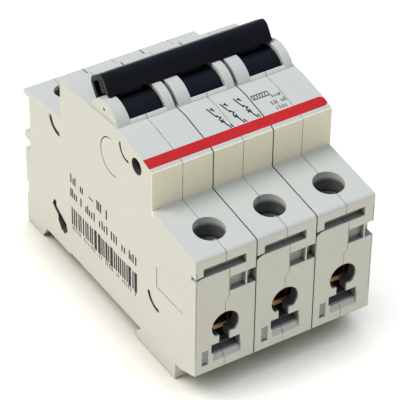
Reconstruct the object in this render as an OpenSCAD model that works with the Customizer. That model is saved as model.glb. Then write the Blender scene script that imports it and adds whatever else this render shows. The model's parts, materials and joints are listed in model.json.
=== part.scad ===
// Three-pole miniature circuit breaker for a 35 mm top-hat rail, lying on its back.
// X runs across the poles, Y along the housing from the line terminals to the load
// terminals, and Z up from the rail side to the operating handle. The origin is the
// middle of the housing, on the surface that the feet stand on.

/* [Housing] */
// Distance between the centres of two poles
pitch = 17.5; // [17.4:0.05:18.5]
// Gap between the housings of two poles
pole_gap = 0.16; // [0.1:0.02:0.3]
// Length of the housing, from one terminal face to the other
body_l = 85; // [84.6:0.2:88]
// Length of the raised front section
front_l = 45; // [44.6:0.1:45.4]
// Height of the terminal shoulders at the terminal faces
shoulder_z = 43.8; // [43.6:0.1:44.4]
// Height of the terminal shoulders where they meet the front section
shoulder_inner_z = 46.2; // [46:0.1:47]
// Height of the rail seat above the feet
seat_z = 4.4; // [4.2:0.1:4.6]
// Thickness of the outer side walls
side_wall = 1.47; // [1.3:0.01:1.6]

/* [Handle] */
// Height of the handle axis
axis_z = 57; // [56.9:0.1:57.2]
// Lean of the handle from upright when it is switched off
off_lean = 35; // [30:1:37]
// Outer radius of the ears on each side of a toggle
ear_r = 7.3; // [7.2:0.1:7.6]
// Radius of the toggle drum
drum_r = 6.2; // [6:0.1:6.3]
// Length of the bar that ties the three toggles together
tie_l = 48; // [46:0.5:50]
// Width of the tie bar
tie_w = 7.6; // [6.8:0.2:8]
// Distance from the handle axis to the top of the tie bar
tie_r = 12.8; // [12.4:0.1:13.2]

/* [Terminals] */
// Distance of the terminal screws from the terminal faces
screw_inset = 8.5; // [8.4:0.1:8.8]
// Diameter of the screwdriver holes
screw_bore_d = 8.2; // [8:0.1:8.6]
// Diameter of the terminal screw shanks
shank_d = 4.9; // [4.8:0.1:5]
// Width of the wire opening
entry_d = 7.9; // [7.5:0.1:8.2]
// Height of the centre of the wire opening
entry_z = 20.9; // [20.5:0.1:21.3]

/* [Contacts] */
// Angle through which a moving contact swings
contact_swing = 20; // [16:1:20]
// Thickness of the fixed conductors
strip_t = 1.8; // [1.6:0.1:2]

/* [Hidden] */
POLES = 3;
POLE_PARTS = ["left_shell", "right_shell", "toggle", "toggle_link", "moving_contact",
    "fixed_contact", "line_conductor", "trip_coil", "trip_plunger", "arc_chute", "bimetal",
    "load_conductor", "line_cage", "load_cage", "line_screw", "load_screw", "rail_clip"];
SHARED_PARTS = ["tie_bar", "toggle_axles", "toggle_springs", "trip_bar", "trip_levers",
    "coil_yokes", "braids", "pole_tie_pins"];

$fn = 48;
eps = 0.01;
big = 100;

half_l = body_l / 2;
half_f = front_l / 2;
half_w = (pitch - pole_gap) / 2;
inner_w = half_w - side_wall;

// Side outline of the raised front, from the line side to the load side
step_z = 57.3;
roof_peak_z = 60.4;
// Toggle slot between the ears, measured from the pole's centre plane
slot_x0 = -4.55;
slot_x1 = 5.75;
slot_y0 = -5.2;
slot_y1 = 6.4;
ear_x0 = -8.25;
ear_x1 = 8.2;
// Locating hole in each side face
locate_y = -15.2;
locate_z = 55;
axis_y = 0.6;
drum_x0 = slot_x0 + 0.3;
drum_x1 = slot_x1 - 0.3;
drum_wall = 1;
axle_r = 1.2;
hub_r = 2.3;
running = 0.05;

// Crank pin under each toggle, on the far side of the axis from the lever
crank_r = 3.9;
crank_pin_r = 0.7;
crank_y = axis_y - crank_r * sin(off_lean);
crank_z = axis_z - crank_r * cos(off_lean);

// Moving contact
pivot_y = 4;
pivot_z = 33;
link_end_y = pivot_y;
link_end_z = pivot_z + 7;
link_len = sqrt(pow(link_end_y - crank_y, 2) + pow(link_end_z - crank_z, 2)) - 0.1;
link_lean = atan2(link_end_y - crank_y, crank_z - link_end_z);
contact_z = 18;
// Half width of the slot in which the link's lower pin slides
slot_r = 1;

// Terminals
term_x = 0.4;
term_y = half_l - screw_inset;
shelf_z0 = 35.6;
shelf_z1 = 36.6;
chamber_z0 = 13.2;
chamber_half_x = 5.3;
chamber_half_y = 5.35;
bar_z0 = 25;
bar_z1 = bar_z0 + strip_t;
bar_half_x = 3.2;
cage_half_x = 4.8;
cage_half_y = 3.8;
cage_z0 = 15.6;
cage_z1 = 30.4;
cage_wall = 1.5;

// Mechanism space
mech_half_y = 27.4;
mech_z0 = 8.2;
mech_z1 = 41.8;
upper_half_y = 20.8;
upper_z1 = 56.2;

// Trip parts
coil_y = -14;
coil_z0 = 27.4;
coil_z1 = 38.6;
plunger_r = 2.4;
trip_y = 12;
trip_z = 41.5;
trip_r = 1.1;

// Rail clip
clip_half_x = 5;
clip_y0 = 14.8;
clip_y1 = 41.3;
clip_z0 = 0.5;
clip_z1 = 3.1;

// Extrusions along X and along Y
module along_x(x0, x1) translate([x0, 0, 0]) rotate([90, 0, 90]) linear_extrude(x1 - x0) children();
module along_y(y0, y1) translate([0, y1, 0]) rotate([90, 0, 0]) linear_extrude(y1 - y0) children();
module box(x0, x1, y0, y1, z0, z1) translate([x0, y0, z0]) cube([x1 - x0, y1 - y0, z1 - z0]);
module rod_x(x0, x1, y, z, r) translate([x0, y, z]) rotate([0, 90, 0]) cylinder(r = r, h = x1 - x0);
module both_ends() { children(); mirror([0, 1, 0]) children(); }
module at_pole(i) translate([(i - (POLES + 1) / 2) * pitch, 0, 0]) children();
module turn_x(y, z, angle) translate([0, y, z]) rotate([angle, 0, 0]) translate([0, -y, -z]) children();

// Banana-shaped slot outline: a ring of mean radius r between two angles, with rounded ends
module arc_slot(y, z, r, width, a0, a1) translate([y, z]) {
    difference() {
        circle(r + width / 2);
        circle(r - width / 2);
        for (a = [a0 - 90, a1 + 90]) rotate(a) translate([0, -big]) square([big, 2 * big]);
    }
    for (a = [a0, a1]) rotate(a) translate([r, 0]) circle(width / 2 + 0.02);
}

// ---------------------------------------------------------------- housing shells

module side_outline() polygon([
    [-half_l, 7.6], [-half_l + 3.7, 6.2], [-35.9, 5.2], [-33.5, 5.1], [-33.3, 0], [-14.6, 0],
    [-13.8, 0.8], [-14.2, 1.8], [-16.6, 4], [-16.6, seat_z], [19.2, seat_z], [19.2, 3.8],
    [31.9, 3.8], [34.3, 0], [half_l, 0], [half_l, shoulder_z - 0.7], [half_l - 0.25, shoulder_z - 0.2],
    [half_l - 0.8, shoulder_z + 0.1], [half_f, shoulder_inner_z],
    [half_f, step_z - 0.2], [half_f - 0.6, 57.7], [15.8, 58.4], [5.4, 59.6], [-4.4, roof_peak_z],
    [-9.8, 60.2], [-18.1, 58.7], [-half_f + 1.2, 57.9], [-half_f, step_z],
    [-half_f, shoulder_inner_z], [-half_l + 0.8, shoulder_z + 0.1], [-half_l + 0.25, shoulder_z - 0.2],
    [-half_l, shoulder_z - 0.7]]);

module cowl() intersection() {
    translate([axis_y, axis_z]) circle(ear_r, $fn = 96);
    translate([-big / 2, axis_z + 1]) square(big);
}

module mechanism_space() {
    box(-inner_w, inner_w, -mech_half_y, mech_half_y, mech_z0, mech_z1);
    box(-inner_w, inner_w, -upper_half_y, upper_half_y, mech_z1 - eps, upper_z1);
}

module toggle_slot() {
    box(slot_x0, slot_x1, slot_y0, slot_y1, axis_z, axis_z + 10);
    rod_x(slot_x0, slot_x1, axis_y, axis_z, drum_r + 0.3, $fn = 96);
}

// Wire entry: a round opening over a neck and a wide slot, with a ramp below it
module wire_entry_outline() {
    difference() {
        translate([0.15, entry_z]) circle(d = entry_d, $fn = 64);
        translate([-big / 2, 18.1 - big]) square(big);
    }
    translate([-1.6, 15]) square([3.05, 4]);
    translate([-3.85, 12.9]) square([8.4, 2.85]);
}

module terminal_space() {
    translate([term_x - chamber_half_x, -term_y - chamber_half_y, chamber_z0])
        cube([2 * chamber_half_x, 2 * chamber_half_y, shelf_z0 - chamber_z0]);
    translate([term_x, -term_y, shelf_z1]) cylinder(d = screw_bore_d, h = 20, $fn = 96);
    translate([term_x, -term_y, shelf_z0 - 1]) cylinder(d = shank_d + 0.9, h = 3);
    along_y(-half_l - 1, -term_y - chamber_half_y + 1) wire_entry_outline();
    along_x(-3.3, 4.8) polygon([[-half_l - 1, 9.3], [-half_l, 10.2], [-half_l + 1.4, 12],
        [-half_l + 3.2, 12], [-half_l + 3.2, 14], [-half_l - 1, 14]]);
    box(term_x - bar_half_x - 0.3, term_x + bar_half_x + 0.3, -term_y + chamber_half_y - 1,
        -mech_half_y + 1, bar_z0 - 0.3, bar_z1 + 0.3);
}

// Label slot, lip and window above the line side wire entries
module line_face_relief() {
    along_y(-half_l - 1, -half_l + 2) polygon([[-6.45, 40.9], [5.75, 40.9], [5.75, 38.15],
        [-7, 38.15], [-8, 37.7], [-9, 36.7], [-9, 38.5], [-6.45, 38.7]]);
    box(1.2, 5.75, -half_l - 1, -half_l + 1.5, 31, 35.4);
    box(6.15, 9, -half_l - 1, -half_l + 2.4, 31, 35.4);
    translate([-5.6, -half_l - 0.5, 10]) cylinder(r = 1.1, h = 4.6);
}

module load_face_relief() {
    box(-9, -2.6, half_l - 2.9, half_l + 1, 30.2, 42.3);
    box(-9, -5.8, half_l - 2.4, half_l + 1, 24.5, 28);
    box(-9, 9, half_l - 0.8, half_l + 1, 9.2, 13.4);
}

// Tongue on the left shell that makes the seam step sideways on the line face
module seam_tongue(clear) along_y(-half_l, -term_y - chamber_half_y) polygon([
    [-1, 28.3], [0, 28.3 - clear], [1 + clear, 29.5], [1 + clear, 38.15], [-1, 38.15]]);

// T-shaped groove and open channel for the rail clip
module clip_space() {
    box(-1.75, 1.75, 20.6, 36, seat_z - 1, 5.1);
    box(-2.95, 2.95, 20.6, 36, 4.8, 6.8);
    box(-clip_half_x - 0.4, clip_half_x + 0.4, 31, half_l + 1, -1, clip_z1 + 0.4);
}

module shared_holes() {
    rod_x(-8, 8, axis_y, axis_z, axle_r + running);
    rod_x(-5.3, 5.3, pivot_y, pivot_z, 1 + running);
}

// Holes that run through the row of poles and end blind in the outer walls
module row_holes(i) translate([-(i - (POLES + 1) / 2) * pitch, 0, 0]) {
    rod_x(-25.4, 25.4, trip_y, trip_z, trip_r + 0.08);
    rod_x(-25.2, 25.2, -31, 10, 1.05);
    rod_x(-25.2, 25.2, 36, 9, 1.05);
}

module bosses() {
    for (x = [[-half_w + 0.5, slot_x0], [slot_x1, half_w - 0.5]]) rod_x(x[0], x[1], axis_y, axis_z, 3);
    for (x = [[-half_w + 0.5, -3], [3.4, half_w - 0.5]]) rod_x(x[0], x[1], pivot_y, pivot_z, 2.2);
    for (x = [-half_w + 0.5, half_w - 2.6]) rod_x(x, x + 2.1, locate_y, locate_z, 3.4);
}

// Slots, holes and fine lines on the left side face
module left_face_relief() {
    along_x(-half_w - 1, -inner_w + eps) {
        arc_slot(-24.9, 20.6, 4.2, 1.2, -92, -14);
        arc_slot(24, 44.4, 4.1, 1.5, -88, -14);
        polygon([[27.6, 16.9], [28.3, 15], [27, 13.9], [25.6, 13], [25.3, 11.1], [23.9, 9.2],
            [22.1, 8.7], [20.5, 10.6], [21.2, 12.7], [23.7, 14.1], [26.2, 15.4], [26.3, 17.1]]);
        arc_slot(-10.6, 57, 3.3, 0.8, -98, 2);
    }
    fine_lines(-half_w - 1, -half_w + 0.3);
    rod_x(-half_w - 1, ear_x0 + 1.5, axis_y + 0.3, axis_z + 5, 0.5, $fn = 24);
}

module fine_lines(x0, x1) along_x(x0, x1) {
    arc_slot(-3.2, 50.2, 5.3, 0.24, -112, 85);
    translate([-24.7, 23.7]) square([0.24, 6.4]);
    translate([-36.8, 23.7]) square([12.2, 0.24]);
}

module locating_hole(x0, x1) rod_x(x0, x1, locate_y, locate_z, 2.3);

module half_shell(i, x0, x1) {
    difference() {
        union() {
            difference() {
                union() {
                    along_x(x0, x1) side_outline();
                    along_x(max(x0, ear_x0), min(x1, ear_x1)) cowl();
                }
                mechanism_space();
                toggle_slot();
                both_ends() terminal_space();
                line_face_relief();
                load_face_relief();
                clip_space();
            }
            intersection() {
                bosses();
                box(x0, x1, -big, big, 0, step_z);
            }
        }
        shared_holes();
        row_holes(i);
    }
}

peg_spots = [[-36.5, 10.4], [39.6, 8], [-25, 43.6], [25, 43.6]];

module left_shell(i) color([0.87, 0.88, 0.86]) {
    difference() {
        union() {
            half_shell(i, -half_w, 0);
            difference() {
                seam_tongue(0);
                line_face_relief();
                along_y(-half_l - 1, -term_y - chamber_half_y + 1) wire_entry_outline();
                box(-2, 0, -half_l - 1, -half_l + 5, 25, 45);
            }
            for (p = peg_spots) rod_x(-1, 3, p[0], p[1], 1.15);
        }
        left_face_relief();
        locating_hole(-half_w - 1, -half_w + 2.5);
    }
}

module right_shell(i) color([0.87, 0.88, 0.86]) difference() {
    half_shell(i, 0, half_w);
    seam_tongue(0.03);
    for (p = peg_spots) rod_x(-1, 3.3, p[0], p[1], 1.2);
    locating_hole(half_w - 2.5, half_w + 1);
}

// ---------------------------------------------------------------- handle

// Outline of the drum wall, open towards the crank where the link comes out
module drum_ring() difference() {
    circle(drum_r, $fn = 96);
    circle(drum_r - drum_wall, $fn = 96);
    polygon([[0, 0], [-big, -1.2 * big], [big, -1.2 * big]]);
}

module toggle() color([0.07, 0.07, 0.075]) turn_x(axis_y, axis_z, -off_lean)
    translate([0, axis_y, axis_z]) difference() {
        union() {
            along_x(drum_x0, drum_x1) drum_ring();
            for (x = [drum_x0, drum_x1 - 0.8]) rod_x(x, x + 0.8, 0, 0, drum_r, $fn = 96);
            rod_x(drum_x0, drum_x1, 0, 0, hub_r);
            along_x(-2.6, -1) {
                translate([0, -crank_r]) circle(1.6);
                translate([-1.6, -crank_r]) square([3.2, crank_r]);
            }
            box(-2.6, 1.1, -0.8, 0.8, hub_r - 0.5, drum_r);
            box(-2.6, 3.8, -1.6, 1.6, drum_r - 0.8, 11.2);
        }
        rod_x(-20, 20, 0, 0, axle_r + running);
        rod_x(-3, 0, 0, -crank_r, crank_pin_r + running);
    }

module tie_outline() difference() {
    union() {
        translate([-tie_w / 2, 6]) square([tie_w, tie_r - 2.2 - 6]);
        translate([-tie_w / 2 + 2.2, 6]) square([tie_w - 4.4, tie_r - 6]);
        for (w = [-1, 1]) translate([w * (tie_w / 2 - 2.2), tie_r - 2.2]) circle(2.2, $fn = 64);
    }
    circle(ear_r + 0.5, $fn = 96);
}

module tie_bar() color([0.06, 0.06, 0.065]) turn_x(axis_y, axis_z, -off_lean)
    translate([0, axis_y, axis_z]) difference() {
        along_x(-tie_l / 2, tie_l / 2) tie_outline();
        for (i = [1 : POLES]) at_pole(i) box(-2.7, 3.9, -1.7, 1.7, 6, 11.4);
        difference() {
            box(-tie_l / 2 - 1, -tie_l / 2 + 3.2, -2.5, 2.5, 6, 11.4);
            box(-tie_l / 2 + 0.6, -tie_l / 2 + 4, -0.9, 0.9, 6, 12);
        }
    }

module toggle_axles() color("silver") for (i = [1 : POLES]) at_pole(i)
    rod_x(-7.9, 7.9, axis_y, axis_z, axle_r);

// Torsion spring: three turns round the hub, with a leg that lies on the drum wall
module toggle_springs() color("gray") for (i = [1 : POLES]) at_pole(i)
    translate([0, axis_y, axis_z]) {
        for (turn = [0 : 2]) translate([1.7 + turn * 0.78, 0, 0]) rotate([0, 90, 0])
            rotate_extrude() translate([hub_r + 0.5, 0]) circle(0.4, $fn = 16);
        box(1.5, 1.9, 2.5, 4.6, -0.2, 0.2);
    }

// Link between the toggle crank and the moving contact
module toggle_link() color("silver") {
    translate([0, crank_y, crank_z]) rotate([link_lean, 0, 0]) {
        rod_x(-0.7, 0.7, 0, 0, 1.4);
        rod_x(-0.7, 0.7, 0, -link_len, 1.4);
        box(-0.7, 0.7, -0.8, 0.8, -link_len, 0);
        rod_x(-2.9, -0.6, 0, 0, crank_pin_r);
        rod_x(0.6, 3, 0, -link_len, crank_pin_r);
    }
}

// ---------------------------------------------------------------- contacts and trip parts

module moving_contact() color([0.78, 0.5, 0.32]) {
    difference() {
        union() {
            box(1, 2.6, pivot_y - 1.8, pivot_y + 1.8, pivot_z, link_end_z + 2.3);
            box(-2.2, 2.6, pivot_y - 1, pivot_y + 1, 16.4, pivot_z);
            rod_x(-2.6, 2.6, pivot_y, pivot_z, 2.1);
            box(-1.8, 1.8, pivot_y - 2, pivot_y, contact_z - 1.5, contact_z + 1.5);
        }
        box(0, 3, pivot_y - slot_r, pivot_y + slot_r, link_end_z - 1.2, link_end_z + 0.45);
        for (z = [-1.2, 0.45]) rod_x(0, 3, pivot_y, link_end_z + z, slot_r);
        box(-3, 0.99, pivot_y - 3, pivot_y + 3, pivot_z + 3, big);
    }
    rod_x(-5, 5, pivot_y, pivot_z, 1);
}

// The contact strip leans as the moving contact does when it is closed
module fixed_contact() color([0.8, 0.52, 0.34]) {
    turn_x(pivot_y, pivot_z, -contact_swing) {
        box(-1.8, 1.8, pivot_y - 3.1, pivot_y - 2.15, contact_z - 1.5, contact_z + 1.5);
        box(-2.4, 2.4, pivot_y - 4.1, pivot_y - 3.1, contact_z - 2.4, 23.5);
    }
    box(-2.4, 2.4, -9, -3.1, 24.2, 25.2);
}

module line_conductor() color([0.8, 0.52, 0.34]) {
    box(term_x - bar_half_x, term_x + bar_half_x, -term_y - 4, -23, bar_z0, bar_z1);
    box(term_x - bar_half_x, term_x + bar_half_x, -24.8, -23, bar_z0, 41.4);
    box(-2, 2, -24.8, -17.2, 40.2, 41.4);
}

// Coil of round wire on a thin bobbin
module trip_coil() color([0.72, 0.42, 0.25]) translate([0, coil_y, 0]) {
    difference() {
        translate([0, 0, coil_z0]) cylinder(r = 4.1, h = coil_z1 - coil_z0);
        translate([0, 0, coil_z0 - 1]) cylinder(r = 2.9, h = coil_z1 - coil_z0 + 2);
    }
    for (turn = [0 : 4]) translate([0, 0, coil_z0 + 1.1 + turn * 2.2])
        rotate_extrude() translate([4.3, 0]) circle(0.9, $fn = 24);
}

module coil_yokes() color([0.55, 0.56, 0.58]) for (i = [1 : POLES]) at_pole(i)
    difference() {
        union() {
            for (z = [26.2, coil_z1 + 0.1]) box(-5, 5, -20.6, -8, z, z + 1);
            box(-5, 5, -20.6, -19.6, 26.2, coil_z1 + 1.1);
        }
        translate([0, coil_y, 20]) cylinder(r = 2.75, h = 25);
    }

module trip_plunger() color("silver") translate([0, coil_y, 28]) {
    cylinder(r = plunger_r, h = 12.2);
    cylinder(r = 1, h = 13.4);
}

// Deion plates held in two side cards
module arc_chute() color([0.6, 0.6, 0.62]) {
    for (plate = [0 : 7]) translate([0, -20.8 + plate * 1.75, 0]) difference() {
        box(-6.2, 6.2, 0, 0.8, 9.2, 22.6);
        translate([0, -1, 24.6]) rotate([0, 45, 0]) cube([4.6, 6, 4.6], center = true);
    }
    for (x = [-6.7, 5.9]) box(x, x + 0.8, -21.2, -7.3, 8.6, 23);
}

module bimetal() color([0.74, 0.7, 0.6]) box(-2.4, 2.4, 18.6, 19.5, 14, 38.8);

module load_conductor() color([0.8, 0.52, 0.34]) {
    box(term_x - bar_half_x, term_x + bar_half_x, 23, term_y + 4, bar_z0, bar_z1);
    box(term_x - bar_half_x, term_x + bar_half_x, 23, 24.8, bar_z0, 40.4);
    box(-2.4, 2.4, 18.6, 24.8, 38.8, 40.4);
}

// Flexible braid from the foot of the bimetal strip to the moving contact
module braids() color([0.75, 0.5, 0.33]) for (i = [1 : POLES]) at_pole(i)
    along_x(-2.3, -0.9) {
        for (y = [8.5, 15]) intersection() {
            difference() {
                translate([y, 12.2]) circle(3.3);
                translate([y, 12.2]) circle(1.8);
            }
            translate([y == 15 ? y : y - 5, 7.2]) square(5);
        }
        translate([8.5, 8.9]) square([6.5, 1.5]);
        translate([16.8, 12.2]) square([1.5, 3.5]);
        translate([5.2, 12.2]) square([1.5, 8]);
    }

module trip_bar() color([0.2, 0.2, 0.21]) rod_x(-25.2, 25.2, trip_y, trip_z, trip_r);

// Trip lever: one arm over the plunger, one down to the bimetal strip
module trip_levers() color([0.9, 0.86, 0.76]) for (i = [1 : POLES]) at_pole(i)
    difference() {
        union() {
            rod_x(2.2, 5.8, trip_y, trip_z, 2.2);
            along_x(3.4, 4.6) polygon([[trip_y, trip_z + 2.1], [trip_y, trip_z - 1], [-12.6, 44.4],
                [-15.4, 44.4], [-15.4, 45.9], [-12, 46]]);
            box(-1.5, 4.6, -15.4, -12.6, 44.4, 45.7);
            along_x(3.4, 4.6) polygon([[trip_y - 1.5, trip_z], [trip_y + 2, trip_z], [17.9, 20],
                [17.9, 16.5], [16.6, 16.5], [16.6, 19.5]]);
            box(-1, 4.6, 16.6, 17.9, 16.5, 19);
        }
        rod_x(0, 8, trip_y, trip_z, trip_r);
    }

// ---------------------------------------------------------------- terminals and rail clip

module cage() color([0.78, 0.68, 0.45]) translate([term_x, -term_y, 0]) difference() {
    box(-cage_half_x, cage_half_x, -cage_half_y, cage_half_y, cage_z0, cage_z1);
    box(-cage_half_x + cage_wall, cage_half_x - cage_wall, -10, 10, cage_z0 + 1.6, cage_z1 - 2.6);
    translate([0, 0, 20]) cylinder(d = shank_d + 2 * running, h = 20);
}

// Screw with a cross recess crossed by a slot
module terminal_screw() color([0.75, 0.76, 0.78]) translate([term_x, -term_y, 0]) difference() {
    union() {
        translate([0, 0, shelf_z1 + 0.15]) cylinder(r = 3.6, h = 2.9);
        translate([0, 0, bar_z1 + 0.2]) cylinder(d = shank_d, h = shelf_z1 - bar_z1);
    }
    for (a = [0, 90]) rotate(a + 20) box(-2.7, 2.7, -0.5, 0.5, shelf_z1 + 1.5, shelf_z1 + 4);
}

module rail_clip() color([0.25, 0.25, 0.26]) difference() {
    union() {
        along_x(-clip_half_x, clip_half_x) polygon([[clip_y0, 0.9], [clip_y0, 1.6], [17, clip_z1],
            [clip_y1, clip_z1], [clip_y1, clip_z0], [15.6, clip_z0]]);
        box(-1.4, 1.4, 21, 31, clip_z1 - eps, 5.2);
        box(-2.6, 2.6, 21, 31, 5.1, 6.5);
    }
    box(-2.7, 2.7, 36.2, 39.2, -1, 5);
}

module pole_tie_pins() color("silver") {
    rod_x(-25, 25, -31, 10, 1);
    rod_x(-25, 25, 36, 9, 1);
}

for (i = [1 : POLES]) at_pole(i) {
    left_shell(i);
    right_shell(i);
    toggle();
    toggle_link();
    moving_contact();
    fixed_contact();
    line_conductor();
    trip_coil();
    trip_plunger();
    arc_chute();
    bimetal();
    load_conductor();
    cage();
    mirror([0, 1, 0]) cage();
    terminal_screw();
    mirror([0, 1, 0]) terminal_screw();
    rail_clip();
}
tie_bar();
toggle_axles();
toggle_springs();
trip_bar();
trip_levers();
coil_yokes();
braids();
pole_tie_pins();
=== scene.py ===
"""The looks of a three-pole miniature circuit breaker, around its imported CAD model.

Lengths are in metres unless a comment or a factor of MM says millimetres.
"""

import json
import math
import random

import bmesh
import bpy
from mathutils import Matrix, Vector


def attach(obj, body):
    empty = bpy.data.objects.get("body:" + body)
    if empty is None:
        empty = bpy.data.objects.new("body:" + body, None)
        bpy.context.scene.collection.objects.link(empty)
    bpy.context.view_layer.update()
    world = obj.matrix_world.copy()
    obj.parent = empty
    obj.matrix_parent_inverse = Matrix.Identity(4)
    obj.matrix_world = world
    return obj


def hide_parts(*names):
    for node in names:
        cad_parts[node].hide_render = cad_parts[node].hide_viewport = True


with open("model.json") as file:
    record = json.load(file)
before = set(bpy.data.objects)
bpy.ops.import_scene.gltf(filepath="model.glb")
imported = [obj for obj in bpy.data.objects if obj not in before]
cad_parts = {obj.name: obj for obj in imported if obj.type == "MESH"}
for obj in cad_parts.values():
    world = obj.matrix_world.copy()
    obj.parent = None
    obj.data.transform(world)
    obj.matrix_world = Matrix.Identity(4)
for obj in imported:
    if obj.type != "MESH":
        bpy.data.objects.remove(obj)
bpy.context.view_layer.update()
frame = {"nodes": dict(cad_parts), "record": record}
nodes = frame["nodes"]

MM = 0.001

# Sizes of the housing that the materials and prints refer to, in mm
POLES = (1, 2, 3)
PITCH = 17.5
HALF_W = 8.67  # half the width of one pole
SIDE_X = -(PITCH + HALF_W)  # left side face
TERM_X, TERM_Y = 0.4, 34.0  # terminal screws, from the middle of the pole and of the housing
LOCATE_Y, LOCATE_Z = -15.2, 55.0  # locating hole of a side face
RING_Y, RING_Z, RING_R = -3.2, 50.2, 5.3  # fine round line on the left side face
LINE_Y, STEP_Y = -42.5, -22.5  # line face, and the face of the step above it

# Facets of the raised front, each from its lower to its upper edge, as (y, z)
STRIPE_FACET = ((-21.3, 57.9), (-18.1, 58.7))
PRINT_FACET = ((-18.1, 58.7), (-9.8, 60.2))

# The sky's colours at the horizon and overhead, and the strength and direction of the key light
HORIZON = (0.30, 0.27, 0.16)
ZENITH = (0.58, 0.74, 1.10)
KEY = 2.35
KEY_FROM = (-0.50, 0.22, 0.84)

# Painted tones of plastic that no light reaches, and the painted warmer light on the step
HOLE_SHADE_TONE = (0.05, 0.046, 0.032)
UNLIT_TONE = (0.035, 0.032, 0.025)
SHADED_TONE = (0.09, 0.086, 0.072)
STEP_PAINTED_LIGHT = (0.80, 0.72, 0.50)

# Least angle of an edge that is rounded, in degrees
SHARP = 28
# Largest share of the room beside an edge that its rounding may take
ROOM_SHARE = 0.42
# Cosine from which a neighbouring edge counts as running on along this one
NEARLY_PARALLEL = 0.85

# How far prints reach into the surface and stand proud of it, in mm
SUNK = 0.05
PROUD = 0.03


# ---------------------------------------------------------------- camera


def add_camera():
    """Seen from the front left, well above, through a long lens."""
    azimuth, elevation, roll = (math.radians(angle) for angle in (-32.675, 37.747, 0.812))
    across, above, away = 1.926, 19.113, 623.84
    back = Vector((math.sin(azimuth) * math.cos(elevation), -math.cos(azimuth) * math.cos(elevation),
                   math.sin(elevation)))
    right = (-back).cross(Vector((0, 0, 1))).normalized()
    up = right.cross(-back)
    right, up = (math.cos(roll) * right + math.sin(roll) * up, -math.sin(roll) * right + math.cos(roll) * up)
    offset = right * across + up * above + back * away
    data = bpy.data.cameras.new("camera")
    data.sensor_width, data.lens = 36, 211.53
    data.clip_start, data.clip_end = 0.01, 50
    camera = bpy.data.objects.new("camera", data)
    bpy.context.scene.collection.objects.link(camera)
    turn = Matrix((right, up, back)).transposed().to_4x4()
    camera.matrix_world = Matrix.Translation(offset * MM) @ turn
    bpy.context.scene.camera = camera


# ---------------------------------------------------------------- materials


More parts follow.
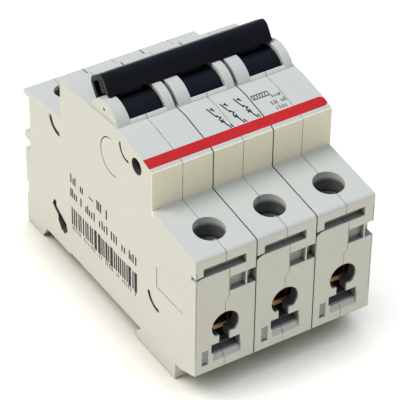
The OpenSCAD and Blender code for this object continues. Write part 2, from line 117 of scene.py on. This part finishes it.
class Surface:
    """A material with one Principled shader, and short calls for the nodes that feed it."""

    def __init__(self, name, **values):
        self.material = bpy.data.materials.new(name)
        self.material.use_nodes = True
        self.tree = self.material.node_tree
        self.shader = self.tree.nodes["Principled BSDF"]
        for socket, value in values.items():
            self.shader.inputs[socket.replace("_", " ")].default_value = value
        self.place = self.add("ShaderNodeTexCoord").outputs["Object"]

    def add(self, kind, **settings):
        node = self.tree.nodes.new(kind)
        for key, value in settings.items():
            setattr(node, key, value)
        return node

    def link(self, output, target):
        self.tree.links.new(output, target)

    def noise(self, scale, detail=3.0, roughness=0.55, stretch=None):
        node = self.add("ShaderNodeTexNoise")
        node.inputs["Scale"].default_value = scale
        node.inputs["Detail"].default_value = detail
        node.inputs["Roughness"].default_value = roughness
        place = self.place
        if stretch:
            mapping = self.add("ShaderNodeMapping")
            mapping.inputs["Scale"].default_value = stretch
            self.link(place, mapping.inputs["Vector"])
            place = mapping.outputs["Vector"]
        self.link(place, node.inputs["Vector"])
        return node.outputs["Fac"]

    def ramp(self, factor, low, high, start=0.0, end=1.0):
        """factor from start to end becomes low to high: two numbers or two colours."""
        if isinstance(low, (int, float)):
            node = self.add("ShaderNodeMapRange")
            for socket, value in zip(("From Min", "From Max", "To Min", "To Max"), (start, end, low, high)):
                node.inputs[socket].default_value = value
            self.link(factor, node.inputs["Value"])
            return node.outputs["Result"]
        node = self.add("ShaderNodeValToRGB")
        stops = node.color_ramp.elements
        stops[0].position, stops[0].color = start, (*low, 1)
        stops[1].position, stops[1].color = end, (*high, 1)
        self.link(factor, node.inputs["Fac"])
        return node.outputs["Color"]

    def blend(self, factor, first, second):
        """Mixes two colours, which are sockets 6 and 7 of the node; a factor of 0 gives the first."""
        node = self.add("ShaderNodeMix", data_type="RGBA")
        for key, value in (("Factor", factor), (6, first), (7, second)):
            socket = node.inputs[key]
            if isinstance(value, bpy.types.NodeSocket):
                self.link(value, socket)
            else:
                socket.default_value = value if isinstance(value, float) else (*value, 1)
        return node.outputs[2]

    def math(self, operation, first, second):
        node = self.add("ShaderNodeMath", operation=operation)
        for socket, value in zip(node.inputs, (first, second)):
            if isinstance(value, bpy.types.NodeSocket):
                self.link(value, socket)
            else:
                socket.default_value = value
        return node.outputs[0]

    def reach(self, first, second):
        """The distance from two offsets at right angles."""
        squares = [self.math("MULTIPLY", value, value) for value in (first, second)]
        return self.math("SQRT", self.math("ADD", *squares), 0.0)

    def edges(self, radius):
        """0 on flat surfaces, 1 along the edges between them."""
        corner = self.add("ShaderNodeBevel", samples=4)
        corner.inputs["Radius"].default_value = radius
        facing = self.add("ShaderNodeVectorMath", operation="DOT_PRODUCT")
        self.link(corner.outputs["Normal"], facing.inputs[0])
        self.link(self.add("ShaderNodeNewGeometry").outputs["Normal"], facing.inputs[1])
        return self.ramp(facing.outputs["Value"], 1.0, 0.0, 0.86, 0.99)

    def recesses(self, reach, start, end):
        """0 on open surfaces, 1 deep in grooves, slots and holes."""
        node = self.add("ShaderNodeAmbientOcclusion", samples=6)
        node.inputs["Distance"].default_value = reach
        return self.ramp(node.outputs["AO"], 1.0, 0.0, start, end)

    def along(self, axis):
        """The position along X, Y or Z, in mm."""
        node = self.add("ShaderNodeSeparateXYZ")
        self.link(self.place, node.inputs[0])
        return self.math("MULTIPLY", node.outputs[axis], 1000.0)

    def near(self, value, centre, full, none):
        """1 where value is within full of centre, falling to 0 at none."""
        off = self.math("ABSOLUTE", self.math("SUBTRACT", value, centre), 0.0)
        return self.ramp(off, 1.0, 0.0, full, none)

    def colour(self, output):
        self.link(output, self.shader.inputs["Base Color"])

    def roughness(self, output):
        self.link(output, self.shader.inputs["Roughness"])

    def bump(self, *layers, soften=0.0):
        """layers are (height output, distance, strength), finest last; soften rounds the edges' shading."""
        normal = None
        if soften:
            corner = self.add("ShaderNodeBevel", samples=6)
            corner.inputs["Radius"].default_value = soften
            normal = corner.outputs["Normal"]
        for height, distance, strength in layers:
            node = self.add("ShaderNodeBump")
            node.inputs["Distance"].default_value = distance
            node.inputs["Strength"].default_value = strength
            self.link(height, node.inputs["Height"])
            if normal:
                self.link(normal, node.inputs["Normal"])
            normal = node.outputs["Normal"]
        self.link(normal, self.shader.inputs["Normal"])


def shade(colour, factor):
    return tuple(c * factor for c in colour)


def moulded(name, colour, rough=0.5, grain=0.5, wear_and_highlight=0.25, variation=0.05, specular=0.4, soften=0.0002,
            painted_shade=0.85, marks=None):
    """Injection-moulded plastic: cloudy tone, a fine spark-eroded grain, paler edges that are partly wear
    and partly a painted highlight, and recesses darkened with painted shade.
    """
    s = Surface(name, Specular_IOR_Level=specular)
    cloud = s.noise(70, 4, 0.6)
    fine = s.noise(5200, 2, 0.5)
    flow = s.noise(25, 2, 0.5, (1, 0.25, 1))
    tone = s.ramp(cloud, shade(colour, 1 - variation), shade(colour, 1 + variation), 0.3, 0.7)
    warmer = (colour[0], colour[1] * 0.985, colour[2] * 0.95)
    tone = s.blend(s.ramp(flow, 0.0, 0.5, 0.35, 0.75), tone, warmer)
    tone = s.blend(s.ramp(fine, 0.0, 0.12, 0.45, 0.75), tone, shade(colour, 0.8))
    # Paler edges: partly wear, partly a painted highlight
    tone = s.blend(s.math("MULTIPLY", s.edges(0.00022), wear_and_highlight), tone, shade(colour, 1.3))
    if marks:
        tone = marks(s, tone, colour)
    # Painted shade: darker in recesses, at two reaches of ambient occlusion
    tone = s.blend(s.math("MULTIPLY", s.recesses(0.005, 0.05, 0.45), painted_shade), tone, shade(colour, 0.12))
    tone = s.blend(s.math("MULTIPLY", s.recesses(0.0012, 0.12, 0.62), painted_shade), tone, shade(colour, 0.05))
    s.colour(tone)
    s.roughness(s.ramp(s.noise(240, 3), rough - 0.06, rough + 0.08, 0.3, 0.7))
    s.bump((cloud, 0.00012, 0.12), (fine, 0.00002, grain), soften=soften)
    return s.material


def within(s, *spans):
    """1 inside a box given as (value, centre, half width, edge) for each direction."""
    mask = None
    for value, centre, half, edge in spans:
        side = s.near(value, centre, half, half + edge)
        mask = s.math("MULTIPLY", mask, side) if mask else side
    return mask


def housing_marks_and_painted_light(s, tone, colour):
    """Dark joints between the half shells, and painted light and shade: shade in the gaps between poles, in
    a fine groove and inside chambers, holes and slots, warmer light on the step and a highlight in front of
    each toggle, in mm.
    """
    x, y, z = s.along("X"), s.along("Y"), s.along("Z")
    wide, far = s.math("ABSOLUTE", x, 0.0), s.math("ABSOLUTE", y, 0.0)
    in_pole = s.math("FLOORED_MODULO", s.math("ADD", x, PITCH / 2 + 2 * PITCH), PITCH)
    in_pole = s.math("SUBTRACT", in_pole, PITCH / 2)
    off_term = s.math("SUBTRACT", in_pole, TERM_X)

    # Painted shade in the screwdriver holes, darker with depth, and in the locating holes of the side faces
    bore = s.near(s.reach(off_term, s.math("SUBTRACT", far, TERM_Y)), 0.0, 4.15, 4.25)
    bore = s.math("MULTIPLY", bore, s.ramp(z, 1.0, 0.0, 42.6, 43.78))
    tone = s.blend(s.math("MULTIPLY", bore, 0.9), tone, HOLE_SHADE_TONE)
    locating = s.math("MULTIPLY", within(s, (y, LOCATE_Y, 2.4, 0.05), (z, LOCATE_Z, 2.4, 0.05)),
                      s.ramp(wide, 1.0, 0.0, 24.9, 26.2))
    tone = s.blend(s.math("MULTIPLY", locating, 0.85), tone, shade(colour, 0.2))

    # Mechanism space (two boxes), terminal chambers, slots in the side walls (two boxes) and wire entries
    unlit = [within(s, (in_pole, 0.0, 7.25, 0.1), (y, 0.0, 27.45, 0.1), (z, 25.0, 16.9, 0.1)),
             within(s, (in_pole, 0.0, 7.25, 0.1), (y, 0.0, 20.85, 0.1), (z, 46.2, 10.1, 0.1)),
             within(s, (off_term, 0.0, 5.4, 0.1), (far, TERM_Y, 5.4, 0.1), (z, 24.4, 11.3, 0.1)),
             within(s, (wide, 25.35, 0.72, 0.1), (y, 0.0, 21.8, 0.1), (z, 31.6, 25.6, 0.2)),
             within(s, (wide, 25.35, 0.72, 0.1), (y, 0.0, 33.0, 0.5), (z, 24.4, 18.4, 0.2)),
             within(s, (in_pole, 0.1, 4.4, 0.1), (far, 39.6, 2.2, 0.6), (z, 18.6, 6.2, 0.1))]
    for mask in unlit:
        tone = s.blend(s.math("MULTIPLY", mask, 0.92), tone, UNLIT_TONE)

    # Label slots and windows, the ledges behind the entry ramps, and the small upright grooves
    shaded = [(within(s, (wide, 0.0, 25.95, 0.05), (y, -41.2, 0.95, 0.2), (z, 36.0, 5.2, 0.1)), 0.5),
              (within(s, (in_pole, 0.75, 4.2, 0.1), (y, -40.1, 1.6, 0.3), (z, 13.2, 1.5, 0.3)), 0.8),
              (within(s, (in_pole, -5.6, 1.15, 0.05), (y, -41.9, 0.42, 0.14), (z, 12.3, 2.5, 0.2)), 0.55)]
    for mask, amount in shaded:
        tone = s.blend(s.math("MULTIPLY", mask, amount), tone, SHADED_TONE)

    # Painted warmer light on the step below the stripe, and a painted highlight along the edge in front of
    # each toggle
    step_face = within(s, (y, STEP_Y, 0.3, 0.1), (z, 51.0, 6.5, 0.4))
    tone = s.blend(s.math("MULTIPLY", step_face, 0.85), tone, STEP_PAINTED_LIGHT)
    lip = within(s, (in_pole, 0.6, 5.15, 0.1), (y, -5.4, 0.35, 0.1), (z, 61.1, 0.5, 0.1))
    tone = s.blend(s.math("MULTIPLY", lip, 0.7), tone, shade(colour, 1.4))

    # The joint of the half shells, which steps sideways on the line face; its hidden faces stay clean
    step = s.math("MULTIPLY", s.ramp(z, 0.0, 1.03, 28.3, 29.5), s.math("LESS_THAN", z, 38.15))
    step = s.math("MULTIPLY", step, s.math("LESS_THAN", y, -36.0))
    off_joint = s.math("SUBTRACT", in_pole, step)
    joint = s.math("SUBTRACT", s.near(off_joint, 0.0, 0.05, 0.12), s.near(off_joint, 0.0, 0.004, 0.008))
    worn = s.ramp(s.noise(420, 2), 0.55, 1.0, 0.35, 0.6)
    tone = s.blend(s.math("MULTIPLY", joint, worn), tone, shade(colour, 0.1))

    # Painted shade in the fine round groove on the left side, and an upright line beside each outer edge of
    # the line face
    ring = s.near(s.reach(s.math("SUBTRACT", y, RING_Y), s.math("SUBTRACT", z, RING_Z)), RING_R, 0.13, 0.2)
    across_gap = s.math("SUBTRACT", s.math("MULTIPLY", y, 0.972), s.math("MULTIPLY", z, 0.233))
    drawn = s.math("MULTIPLY", s.math("GREATER_THAN", across_gap, -15.6), s.math("LESS_THAN", x, -26.0))
    tone = s.blend(s.math("MULTIPLY", s.math("MULTIPLY", ring, drawn), 0.9), tone, shade(colour, 0.15))
    upright = within(s, (wide, 25.86, 0.04, 0.06), (y, LINE_Y, 0.2, 0.05), (z, 27.0, 13.0, 0.5))
    tone = s.blend(s.math("MULTIPLY", upright, worn), tone, shade(colour, 0.15))

    # Painted shade in the gap between two poles, again with clean hidden faces
    off_pole = s.math("ABSOLUTE", s.math("SUBTRACT", wide, PITCH / 2), 0.0)
    hidden = s.near(off_pole, PITCH / 2 - HALF_W, 0.004, 0.008)
    gap = s.math("SUBTRACT", s.near(off_pole, 0.0, 0.13, 0.22), hidden)
    return s.blend(gap, tone, shade(colour, 0.03))


def metal(name, colour, rough=0.3, brushed=(1, 1, 1), tarnish=0.25, bump=0.25):
    """Bare or plated metal: drawn or stamped streaks, patches of tarnish, brighter edges as a painted
    highlight, and painted shade in recesses.
    """
    s = Surface(name, Metallic=1.0)
    streaks = s.noise(1600, 3, 0.6, brushed)
    patches = s.noise(160, 4, 0.65)
    tone = s.ramp(streaks, shade(colour, 0.82), shade(colour, 1.1), 0.3, 0.7)
    tone = s.blend(s.ramp(patches, 0.0, tarnish, 0.45, 0.75), tone, shade(colour, 0.45))
    # Brighter edges: a painted highlight
    tone = s.blend(s.math("MULTIPLY", s.edges(0.00015), 0.5), tone, shade(colour, 1.3))
    # Painted shade in recesses
    tone = s.blend(s.math("MULTIPLY", s.recesses(0.0015, 0.15, 0.6), 0.6), tone, shade(colour, 0.2))
    s.colour(tone)
    s.roughness(s.ramp(patches, rough - 0.06, rough + 0.15, 0.3, 0.7))
    s.bump((streaks, 0.00002, bump))
    return s.material


def ink(name, colour, rough=0.55):
    """Pad-printed ink: slightly uneven cover."""
    s = Surface(name, Specular_IOR_Level=0.12)
    cover = s.noise(1800, 3, 0.7)
    s.colour(s.ramp(cover, colour, tuple(min(1, c * 1.5 + 0.05) for c in colour), 0.45, 0.8))
    s.roughness(s.ramp(cover, rough - 0.1, rough + 0.1, 0.3, 0.7))
    s.bump((cover, 0.00001, 0.3))
    return s.material


HOUSING = moulded("housing_plastic", (0.567, 0.545, 0.449), 0.48, 0.35, 0.3, 0.02, 0.35, marks=housing_marks_and_painted_light)
STRIPE_RED = moulded("stripe_red", (0.53, 0.014, 0.012), 0.42, 0.25, 0.1, 0.08, 0.18, 0.0, 0.0)
BLACK = moulded("toggle_black", (0.004, 0.004, 0.0055), 0.36, 0.6, 0.6, 0.3, 0.14)
CLIP_DARK = moulded("clip_dark", (0.045, 0.045, 0.045), 0.5, 0.4, 0.3, 0.15, 0.4)
LEVER_CREAM = moulded("lever_cream", (0.55, 0.50, 0.38), 0.45, 0.3, 0.2, 0.06, 0.4)
SHAFT_DARK = moulded("shaft_dark", (0.03, 0.03, 0.033), 0.42, 0.4, 0.4, 0.15, 0.4)
STEEL = metal("drawn_steel", (0.56, 0.56, 0.57), 0.3, (1, 0.08, 0.08))
SPRING = metal("spring_steel", (0.32, 0.32, 0.34), 0.35, (1, 1, 1))
SCREW = metal("zinc_screw", (0.50, 0.50, 0.50), 0.36, (1, 1, 0.3), 0.4, 0.35)
CAGE = metal("cage_plating", (0.36, 0.22, 0.11), 0.38, (0.3, 1, 1), 0.5, 0.4)
COPPER = metal("copper_strip", (0.74, 0.36, 0.22), 0.33, (1, 0.1, 0.1), 0.35)
BRAID = metal("copper_braid", (0.68, 0.34, 0.21), 0.45, (0.4, 1, 1), 0.4, 1.0)
COIL = metal("enamelled_wire", (0.55, 0.22, 0.10), 0.25, (1, 1, 0.2), 0.2)
YOKE = metal("yoke_steel", (0.36, 0.36, 0.37), 0.42, (1, 1, 0.1), 0.4)
CHUTE = metal("chute_plates", (0.45, 0.45, 0.46), 0.38, (0.2, 1, 1), 0.3)
BIMETAL = metal("bimetal_strip", (0.52, 0.47, 0.38), 0.34, (1, 1, 0.06), 0.3)
INK = ink("print_black", (0.012, 0.012, 0.012))


# ---------------------------------------------------------------- meshes


def finish_piece(piece, body, material):
    """Gives a new piece its material, and the body that it moves with."""
    piece.data.materials.append(material)
    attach(piece, body)


def add_object(name, mesh):
    piece = bpy.data.objects.new(name, mesh)
    bpy.context.scene.collection.objects.link(piece)
    return piece


def edge_room(edge):
    """How far an edge can be rounded before it meets the next edge of its two faces."""
    start, end = edge.verts
    along = (end.co - start.co).normalized()
    room = 1.0
    for face in edge.link_faces:
        for vert in (start, end):
            for other in vert.link_edges:
                if other is edge or other not in face.edges:
                    continue
                direction = (other.other_vert(vert).co - vert.co)
                across = direction.length * math.sqrt(max(0.0, 1 - (direction.normalized().dot(along)) ** 2))
                if abs(direction.normalized().dot(along)) < NEARLY_PARALLEL:
                    room = min(room, across)
    return room


def rounded(node, name, width):
    """A copy of a CAD node's mesh as one clean shell, with its sharp edges rounded in real geometry."""
    bm = bmesh.new()
    bm.from_mesh(nodes[node].data)
    bmesh.ops.remove_doubles(bm, verts=bm.verts, dist=2e-6)
    bmesh.ops.dissolve_limit(bm, angle_limit=math.radians(0.4), verts=bm.verts, edges=bm.edges)
    weights = bm.edges.layers.float.new("bevel_weight_edge")
    for edge in bm.edges:
        if len(edge.link_faces) != 2 or edge.calc_face_angle(0) < math.radians(SHARP):
            continue
        if ROOM_SHARE * edge_room(edge) > width * MM:
            edge[weights] = 1.0
        else:
            edge.smooth = False
    for face in bm.faces:
        face.smooth = True
    mesh = bpy.data.meshes.new(name)
    bm.to_mesh(mesh)
    bm.free()
    piece = add_object(name, mesh)
    bevel = piece.modifiers.new("rounding", "BEVEL")
    bevel.limit_method, bevel.width, bevel.segments = "WEIGHT", width * MM, 2
    bevel.use_clamp_overlap = False
    normals = piece.modifiers.new("normals", "WEIGHTED_NORMAL")
    normals.keep_sharp, normals.weight = True, 100
    return piece


def restyle(node, body, material, width):
    """Puts a rounded and finished copy in the place of a CAD node."""
    piece = rounded(node, "visual_" + node, width)
    finish_piece(piece, body, material)
    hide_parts(node)


def slab(name, outline, place, thickness, bevel):
    """A thin plate with rounded edges: outline in mm on the XY plane of place, standing proud along Z."""
    bm = bmesh.new()
    low = [bm.verts.new(place @ Vector((x * MM, y * MM, -SUNK * MM))) for x, y in outline]
    face = bm.faces.new(low)
    made = bmesh.ops.extrude_face_region(bm, geom=[face])
    normal = place.to_3x3() @ Vector((0, 0, 1))
    tops = [v for v in made["geom"] if isinstance(v, bmesh.types.BMVert)]
    bmesh.ops.translate(bm, verts=tops, vec=normal * (thickness + SUNK) * MM)
    bmesh.ops.recalc_face_normals(bm, faces=bm.faces)
    mesh = bpy.data.meshes.new(name)
    bm.to_mesh(mesh)
    bm.free()
    piece = add_object(name, mesh)
    rounding = piece.modifiers.new("rounding", "BEVEL")
    rounding.width, rounding.segments, rounding.limit_method = bevel * MM, 2, "ANGLE"
    return piece


def facet_place(facet, x):
    """A frame on a facet of the front: X along the row of poles, Y up the facet, Z outwards."""
    (y0, z0), (y1, z1) = facet
    up = Vector((0, y1 - y0, z1 - z0)).normalized()
    side = Vector((1, 0, 0))
    turn = Matrix((side, up, side.cross(up))).transposed().to_4x4()
    return Matrix.Translation(Vector((x, y0, z0)) * MM) @ turn


def side_place(y, z, lean=0.0):
    """A frame on the left side face: X towards the line side, Y upwards, Z outwards."""
    turn = Matrix(((0, -1, 0), (0, 0, 1), (-1, 0, 0))).transposed().to_4x4()
    turn = turn @ Matrix.Rotation(math.radians(lean), 4, "Z")
    return Matrix.Translation(Vector((SIDE_X, y, z)) * MM) @ turn


def strokes(name, lines, width, place):
    """Printed lines: each polyline in mm on the XY plane of place, drawn as a thin raised ribbon.

    A line can be a pair of its points and its own width.
    """
    bm = bmesh.new()
    for line in lines:
        points, wide = line if isinstance(line, tuple) else (line, width)
        points = [Vector(p) for p in points]
        left, right = [], []
        for k, point in enumerate(points):
            before = (point - points[k - 1]).normalized() if k else None
            after = (points[k + 1] - point).normalized() if k + 1 < len(points) else None
            run = ((before or after) + (after or before)).normalized()
            across = Vector((-run.y, run.x))
            stretch = 1 / max(0.5, across.dot(Vector((-(before or after).y, (before or after).x))))
            end = run * wide / 2 * ((after is None) - (before is None))
            left.append(point + end + across * wide / 2 * stretch)
            right.append(point + end - across * wide / 2 * stretch)
        rows = []
        for height in (-SUNK, PROUD):
            rows.append([[bm.verts.new(place @ Vector((p.x * MM, p.y * MM, height * MM))) for p in side]
                         for side in (left, right)])
        (l0, r0), (l1, r1) = rows
        for k in range(len(points) - 1):
            for quad in ((l1[k], l1[k + 1], r1[k + 1], r1[k]), (l0[k], r0[k], r0[k + 1], l0[k + 1]),
                         (l0[k], l0[k + 1], l1[k + 1], l1[k]), (r0[k], r1[k], r1[k + 1], r0[k + 1])):
                bm.faces.new(quad)
        bm.faces.new((l0[0], l1[0], r1[0], r0[0]))
        bm.faces.new((l0[-1], r0[-1], r1[-1], l1[-1]))
    bmesh.ops.recalc_face_normals(bm, faces=bm.faces)
    mesh = bpy.data.meshes.new(name)
    bm.to_mesh(mesh)
    bm.free()
    return add_object(name, mesh)


def marks(length, height, seed, spacing=0.55):
    """A row of upright strokes in small groups that stands for a line of print."""
    draw = random.Random(seed)
    row, x, left = [], 0.0, draw.randint(2, 6)
    while x < length:
        if left:
            tall = height * draw.choice((1.0, 1.0, 0.65))
            row.append([(x, 0), (x, tall)])
            x += spacing * draw.uniform(0.8, 1.35)
            left -= 1
        else:
            x += spacing * 1.5
            left = draw.randint(2, 6)
    return row


# ---------------------------------------------------------------- housing


def wear_cad(node, material):
    """Gives a CAD node its material and leaves its mesh alone."""
    mesh = nodes[node].data
    mesh.materials.clear()
    mesh.materials.append(material)


for i in POLES:
    for side in ("left", "right"):
        wear_cad(f"{side}_shell_{i}", HOUSING)


# ---------------------------------------------------------------- everything else that came with the frame

FINISHES = {
    "toggle": (BLACK, 0), "tie_bar": (BLACK, 0), "rail_clip": (CLIP_DARK, 0.2),
    "line_screw": (SCREW, 0.12), "load_screw": (SCREW, 0.12),
    "line_cage": (CAGE, 0.15), "load_cage": (CAGE, 0.15),
    "toggle_link": (STEEL, 0.1), "trip_plunger": (STEEL, 0.1), "toggle_axles": (STEEL, 0.1),
    "pole_tie_pins": (STEEL, 0.1), "toggle_springs": (SPRING, 0), "moving_contact": (COPPER, 0.12),
    "fixed_contact": (COPPER, 0.12), "line_conductor": (COPPER, 0.12), "load_conductor": (COPPER, 0.12),
    "trip_coil": (COIL, 0), "arc_chute": (CHUTE, 0.06), "bimetal": (BIMETAL, 0.08),
    "coil_yokes": (YOKE, 0.1),
    "braids": (BRAID, 0.1), "trip_bar": (SHAFT_DARK, 0.1), "trip_levers": (LEVER_CREAM, 0.12),
}
BODY_OF = {n: b for b, members in frame["record"]["behaviour"]["bodies"].items() for n in members}

for node in sorted(nodes):
    family = node[:-2] if node[-2:] in ("_1", "_2", "_3") else node
    if family not in FINISHES:
        continue
    material, width = FINISHES[family]
    if width:
        restyle(node, BODY_OF[node], material, width)
    else:
        wear_cad(node, material)


# ---------------------------------------------------------------- the red stripe and the prints


def stripe():
    """The red band along the front edge, with its two right corners rounded."""
    length, radius = 52.3, 1.3
    low, high = 0.1, math.dist(*STRIPE_FACET) - 0.05
    outline = [(0, low)]
    for cy, first in ((low + radius, -90), (high - radius, 0)):
        for angle in (math.radians(first + k * 15) for k in range(7)):
            outline.append((length - radius + radius * math.cos(angle), cy + radius * math.sin(angle)))
    outline.append((0, high))
    piece = slab("stripe", outline, facet_place(STRIPE_FACET, SIDE_X), 0.05, 0.03)
    finish_piece(piece, "case", STRIPE_RED)


def ink_on(name, lines, width, place):
    finish_piece(strokes(name, lines, width, place), "case", INK)


def moved(lines, x, y):
    """The same lines, further along by x and y."""
    return [[(x + u, y + v) for u, v in line] for line in lines]


def switch_symbol(x, y):
    """A plain sign for a switched contact: two stems, an open blade, a cross and a few ticks."""
    lines = [[(0, 0), (0.6, -2.5), (1.5, -3.7)], [(1.1, -4.3), (1.75, -3.8)], [(0.75, -3.2), (1.15, -3.05)],
             [(0.95, -4.75), (1.75, -5.45)], [(1.75, -4.75), (0.95, -5.45)], [(1.35, -5.1), (2.2, -7.9)],
             [(1.15, -0.3), (1.35, -1.2)], [(2.65, -7.1), (2.85, -7.9)], [(0.75, -0.5), (1.1, -0.75)]]
    return moved(lines, x, y)


def front_prints():
    """Three switch signs, and a small frame over rows of strokes."""
    place = facet_place(PRINT_FACET, 0)
    signs = switch_symbol(-2.9, 8.2) + switch_symbol(1.1, 8.3) + switch_symbol(5.1, 8.4)
    ink_on("print_signs", signs, 0.36, place)
    frame_lines = [[(9.5, 5.9), (14.2, 5.9), (14.2, 7.3), (9.5, 7.3), (9.5, 5.9)]]
    frame_lines += [[(10.0 + k * 0.78, 6.2), (10.25 + k * 0.78, 7.0)] for k in range(5)]
    rows = moved(marks(2.4, 0.8, 5, 0.5), 14.5, 4.9)
    rows += moved(marks(4.2, 1.1, 8, 0.62), 13.1, 2.6)
    rows += moved(marks(4.2, 1.1, 11, 0.62), 13.4, 0.7)
    ink_on("print_rating", frame_lines + rows, 0.24, place)


def side_prints():
    """Rows of strokes and a row of bars that carry no code, on the left side face."""
    ink_on("print_side_first", marks(6.6, 2.2, 21, 1.0), 0.55, side_place(18.0, 28.9, -1.5))
    ink_on("print_side_dash", [[(0, 0), (1.8, 0)]], 0.4, side_place(8.6, 29.9))
    ink_on("print_side_second", marks(5.6, 2.4, 22, 1.05), 0.58, side_place(4.6, 28.9, -1.5))
    ink_on("print_side_third", marks(6.0, 2.2, 23, 1.0), 0.55, side_place(18.2, 24.3, -1.5))
    ink_on("print_side_fourth", marks(25.5, 2.2, 24, 1.0), 0.55, side_place(10.4, 24.0, -0.6))
    draw = random.Random(31)
    bars, x = [], 0.0
    while x < 33.0:
        wide = draw.choice((0.6, 0.6, 0.9, 1.25))
        bars.append(([(x + wide / 2, 0.0), (x + wide / 2, 5.0)], wide))
        x += wide + draw.choice((0.4, 0.5, 0.7))
    ink_on("print_side_bars", bars, 0.3, side_place(18.0, 15.4))
    ink_on("print_side_foot", marks(32.0, 1.0, 25, 0.9), 0.3, side_place(17.4, 13.6))


stripe()
front_prints()
side_prints()


# ---------------------------------------------------------------- stage


def add_stage():
    """A white floor that glows a little, except close to the object, so that its contact shadow stays; the
    fading glow paints that shadow darker.
    """
    bm = bmesh.new()
    half, below = 12, -0.0002
    corners = ((-half, -half), (half, -half), (half, half), (-half, half))
    bm.faces.new([bm.verts.new((x, y, below)) for x, y in corners])
    mesh = bpy.data.meshes.new("floor")
    bm.to_mesh(mesh)
    bm.free()
    floor = add_object("floor", mesh)
    s = Surface("floor_white", Roughness=0.9, Specular_IOR_Level=0.1)
    s.shader.inputs["Emission Color"].default_value = (1.0, 0.985, 0.95, 1)
    # The glow fades near the object: a painted contact shadow
    open_floor = s.math("SUBTRACT", 1.0, s.recesses(0.02, 0.28, 0.88))
    s.link(s.math("MULTIPLY", open_floor, 0.82), s.shader.inputs["Emission Strength"])
    s.colour(s.ramp(s.noise(3, 2), (0.37, 0.345, 0.26), (0.39, 0.365, 0.28), 0.3, 0.7))
    mesh.materials.append(s.material)


def add_light():
    """A cool sky overhead that turns warm towards the horizon, and one large soft light from behind left."""
    scene = bpy.context.scene
    world = bpy.data.worlds.new("studio")
    world.use_nodes = True
    tree = world.node_tree
    background = tree.nodes["Background"]
    background.inputs["Strength"].default_value = 1.0
    place = tree.nodes.new("ShaderNodeTexCoord")
    split = tree.nodes.new("ShaderNodeSeparateXYZ")
    ramp = tree.nodes.new("ShaderNodeValToRGB")
    tree.links.new(place.outputs["Generated"], split.inputs[0])
    tree.links.new(split.outputs["Z"], ramp.inputs["Fac"])
    tree.links.new(ramp.outputs["Color"], background.inputs["Color"])
    stops = ramp.color_ramp.elements
    stops[0].position, stops[0].color = 0.05, (*HORIZON, 1)
    stops[1].position, stops[1].color = 0.8, (*ZENITH, 1)
    scene.world = world
    data = bpy.data.lights.new("key", "SUN")
    data.energy, data.color, data.angle = KEY, (1.0, 0.985, 0.965), math.radians(30)
    lamp = bpy.data.objects.new("key", data)
    scene.collection.objects.link(lamp)
    lamp.matrix_world = Vector(KEY_FROM).to_track_quat("Z", "Y").to_matrix().to_4x4()
    scene.view_settings.view_transform = "Standard"
    scene.view_settings.look = "None"


add_stage()
add_light()
add_camera()
